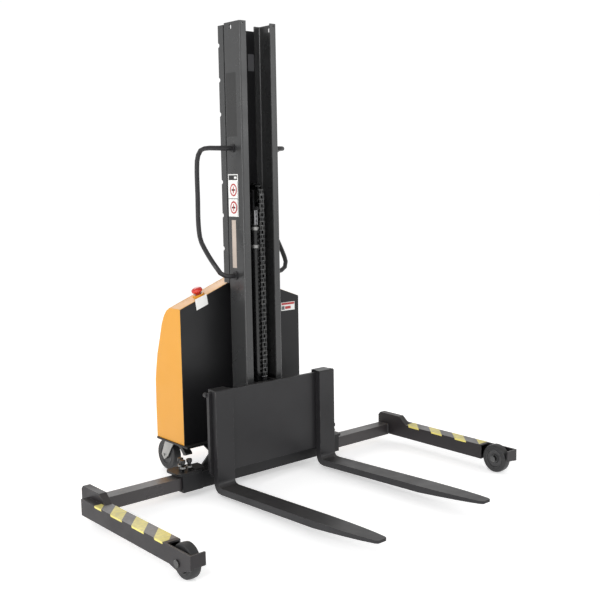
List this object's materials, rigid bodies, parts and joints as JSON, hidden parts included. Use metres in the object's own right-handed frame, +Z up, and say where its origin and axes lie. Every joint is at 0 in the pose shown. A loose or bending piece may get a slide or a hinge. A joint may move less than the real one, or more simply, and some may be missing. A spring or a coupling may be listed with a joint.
{
  "type": "walkie stacker",
  "caption": "Manual push straddle stacker with a single fixed mast, powered lift, adjustable forks and legs, swivel casters and an orange body.",
  "frame": {"origin": "middle of the footprint, on the floor", "axes": "+Z up, forks point along -Y, the operator stands on the +Y side, +X is the right-hand side seen from the forks looking at the mast"},
  "size_m": [1.756, 1.484, 1.98],
  "materials": {
    "painted_black": "satin powder coat",
    "painted_charcoal": "satin powder coat",
    "orange_cover": "smooth semi-gloss",
    "zinc": "zinc plated",
    "steel": "oiled",
    "chrome_rod": "hard chrome, polished",
    "black_rubber": "matte",
    "black_poly": "moulded polyurethane",
    "black_plastic": "moulded",
    "red_plastic": "moulded gloss",
    "battery_case": "moulded",
    "hose_rubber": "smooth"
  },
  "bodies": {
    "chassis": {"receiver_tube": "painted_black", "mast_channel_left": "painted_charcoal", "mast_channel_right": "painted_charcoal", "mast_back_plate": "painted_black", "guard_strip_left": "painted_charcoal", "guard_strip_right": "painted_charcoal", "base_frame": "painted_black", "front_panel": "painted_black", "rear_cover": "orange_cover", "battery": "battery_case", "pump_unit": "steel", "oil_tank": "painted_black", "hydraulic_hose": "hose_rubber", "push_handle_left": "painted_black", "push_handle_right": "painted_black", "lift_cylinder": "painted_black", "cylinder_clamp_upper": "zinc", "cylinder_clamp_lower": "zinc", "caster_plate_left": "zinc", "caster_plate_right": "zinc"},
    "lift_ram": {"lift_rod": "chrome_rod", "crosshead": "painted_black", "lift_chain_rear": "steel", "lift_chain_top": "steel"},
    "sheave": {"chain_sheave": "steel"},
    "carriage": {"carriage_plate": "painted_charcoal", "carriage_arm_left": "painted_charcoal", "carriage_arm_right": "painted_charcoal", "chain_anchor": "painted_black", "lift_chain_front": "steel"},
    "roller_left_lower": {"mast_roller_left_lower": "steel"},
    "roller_left_upper": {"mast_roller_left_upper": "steel"},
    "fork_left": {"fork_left": "painted_charcoal"},
    "leg_left": {"leg_tube_left": "painted_charcoal", "leg_beam_left": "painted_charcoal", "load_axle_left": "zinc"},
    "load_wheel_left": {"load_wheel_left": "black_poly"},
    "caster_left": {"caster_yoke_left": "zinc"},
    "caster_wheel_left": {"caster_wheel_left": "black_rubber"},
    "caster_brake_left": {"caster_brake_left": "black_plastic"},
    "lock_screw_left_1": {"lock_screw_left_1": "black_plastic"},
    "lock_screw_left_2": {"lock_screw_left_2": "black_plastic"},
    "lock_screw_left_3": {"lock_screw_left_3": "black_plastic"},
    "roller_right_lower": {"mast_roller_right_lower": "steel"},
    "roller_right_upper": {"mast_roller_right_upper": "steel"},
    "fork_right": {"fork_right": "painted_charcoal"},
    "leg_right": {"leg_tube_right": "painted_charcoal", "leg_beam_right": "painted_charcoal", "load_axle_right": "zinc"},
    "load_wheel_right": {"load_wheel_right": "black_poly"},
    "caster_right": {"caster_yoke_right": "zinc"},
    "caster_wheel_right": {"caster_wheel_right": "black_rubber"},
    "caster_brake_right": {"caster_brake_right": "black_plastic"},
    "lock_screw_right_1": {"lock_screw_right_1": "black_plastic"},
    "lock_screw_right_2": {"lock_screw_right_2": "black_plastic"},
    "lock_screw_right_3": {"lock_screw_right_3": "black_plastic"},
    "estop": {"estop_button": "red_plastic"},
    "lever": {"lift_lever": "black_plastic"},
    "key": {"key_switch": "steel"}
  },
  "joints": [
    {"name": "mast_lift", "type": "slide", "parent": "chassis", "child": "lift_ram", "axis": [0, 0, 1], "range_m": [0, 0.665], "deforming": ["lift_chain_rear"]},
    {"name": "carriage_lift", "type": "slide", "parent": "lift_ram", "child": "carriage", "axis": [0, 0, 1], "range_m": [0, 0.665], "deforming": ["lift_chain_front"]},
    {"name": "sheave_spin", "type": "hinge", "parent": "lift_ram", "child": "sheave", "pos_m": [0.039, 0.323, 1.258], "axis": [1, 0, 0], "continuous": true},
    {"name": "roller_left_lower_spin", "type": "hinge", "parent": "carriage", "child": "roller_left_lower", "pos_m": [-0.043, 0.3205, 0.172], "axis": [1, 0, 0], "continuous": true},
    {"name": "roller_left_upper_spin", "type": "hinge", "parent": "carriage", "child": "roller_left_upper", "pos_m": [-0.043, 0.3205, 0.398], "axis": [1, 0, 0], "continuous": true},
    {"name": "fork_left_slide", "type": "slide", "parent": "carriage", "child": "fork_left", "axis": [1, 0, 0], "range_m": [-0.002, 0.16]},
    {"name": "leg_left_slide", "type": "slide", "parent": "chassis", "child": "leg_left", "axis": [1, 0, 0], "range_m": [-0.02, 0.28]},
    {"name": "load_wheel_left_spin", "type": "hinge", "parent": "leg_left", "child": "load_wheel_left", "pos_m": [-0.833, -0.387, 0.063], "axis": [1, 0, 0], "continuous": true},
    {"name": "caster_left_swivel", "type": "hinge", "parent": "chassis", "child": "caster_left", "pos_m": [-0.221, 0.617, 0.15], "axis": [0, 0, 1], "continuous": true},
    {"name": "caster_wheel_left_spin", "type": "hinge", "parent": "caster_left", "child": "caster_wheel_left", "pos_m": [-0.221, 0.671, 0.071], "axis": [1, 0, 0], "continuous": true},
    {"name": "caster_brake_left_press", "type": "hinge", "parent": "caster_left", "child": "caster_brake_left", "pos_m": [-0.221, 0.571, 0.1424], "axis": [1, 0, 0], "range_deg": [0, 14]},
    {"name": "lock_screw_left_1_turn", "type": "hinge", "parent": "chassis", "child": "lock_screw_left_1", "pos_m": [-0.406, 0.279, 0.13], "axis": [0, 0, 1], "range_deg": [0, 360]},
    {"name": "lock_screw_left_2_turn", "type": "hinge", "parent": "chassis", "child": "lock_screw_left_2", "pos_m": [-0.373, 0.279, 0.13], "axis": [0, 0, 1], "range_deg": [0, 360]},
    {"name": "lock_screw_left_3_turn", "type": "hinge", "parent": "chassis", "child": "lock_screw_left_3", "pos_m": [-0.394, 0.313, 0.13], "axis": [0, 0, 1], "range_deg": [0, 360]},
    {"name": "roller_right_lower_spin", "type": "hinge", "parent": "carriage", "child": "roller_right_lower", "pos_m": [0.105, 0.3205, 0.172], "axis": [1, 0, 0], "continuous": true},
    {"name": "roller_right_upper_spin", "type": "hinge", "parent": "carriage", "child": "roller_right_upper", "pos_m": [0.105, 0.3205, 0.398], "axis": [1, 0, 0], "continuous": true},
    {"name": "fork_right_slide", "type": "slide", "parent": "carriage", "child": "fork_right", "axis": [1, 0, 0], "range_m": [-0.16, 0.002]},
    {"name": "leg_right_slide", "type": "slide", "parent": "chassis", "child": "leg_right", "axis": [1, 0, 0], "range_m": [-0.22, 0.06]},
    {"name": "load_wheel_right_spin", "type": "hinge", "parent": "leg_right", "child": "load_wheel_right", "pos_m": [0.833, -0.387, 0.063], "axis": [1, 0, 0], "continuous": true},
    {"name": "caster_right_swivel", "type": "hinge", "parent": "chassis", "child": "caster_right", "pos_m": [0.283, 0.617, 0.15], "axis": [0, 0, 1], "continuous": true},
    {"name": "caster_wheel_right_spin", "type": "hinge", "parent": "caster_right", "child": "caster_wheel_right", "pos_m": [0.283, 0.671, 0.071], "axis": [1, 0, 0], "continuous": true},
    {"name": "caster_brake_right_press", "type": "hinge", "parent": "caster_right", "child": "caster_brake_right", "pos_m": [0.283, 0.571, 0.1424], "axis": [1, 0, 0], "range_deg": [0, 14]},
    {"name": "lock_screw_right_1_turn", "type": "hinge", "parent": "chassis", "child": "lock_screw_right_1", "pos_m": [0.445, 0.279, 0.13], "axis": [0, 0, 1], "range_deg": [0, 360]},
    {"name": "lock_screw_right_2_turn", "type": "hinge", "parent": "chassis", "child": "lock_screw_right_2", "pos_m": [0.412, 0.279, 0.13], "axis": [0, 0, 1], "range_deg": [0, 360]},
    {"name": "lock_screw_right_3_turn", "type": "hinge", "parent": "chassis", "child": "lock_screw_right_3", "pos_m": [0.433, 0.313, 0.13], "axis": [0, 0, 1], "range_deg": [0, 360]},
    {"name": "estop_press", "type": "slide", "parent": "chassis", "child": "estop", "axis": [0.347, 0, -0.9379], "range_m": [0, 0.005], "stiffness_N_per_m": 1500, "springref_m": -0.001},
    {"name": "lift_lever_tilt", "type": "hinge", "parent": "chassis", "child": "lever", "pos_m": [0.17892, 0.468, 0.83771], "axis": [0.9379, 0, -0.347], "range_deg": [-14, 14], "stiffness_Nm_per_rad": 1.2},
    {"name": "key_turn", "type": "hinge", "parent": "chassis", "child": "key", "pos_m": [0.103, 0.468, 0.8722], "axis": [0.347, 0, 0.9379], "range_deg": [0, 90]}
  ],
  "couplings": [
    {"joint": "carriage_lift", "follows": "mast_lift", "ratio": 1},
    {"joint": "sheave_spin", "follows": "mast_lift", "rad_per_m": -22.222},
    {"joint": "roller_left_lower_spin", "follows": "mast_lift", "rad_per_m": -40},
    {"joint": "roller_left_upper_spin", "follows": "mast_lift", "rad_per_m": 40},
    {"joint": "roller_right_lower_spin", "follows": "mast_lift", "rad_per_m": -40},
    {"joint": "roller_right_upper_spin", "follows": "mast_lift", "rad_per_m": 40}
  ]
}
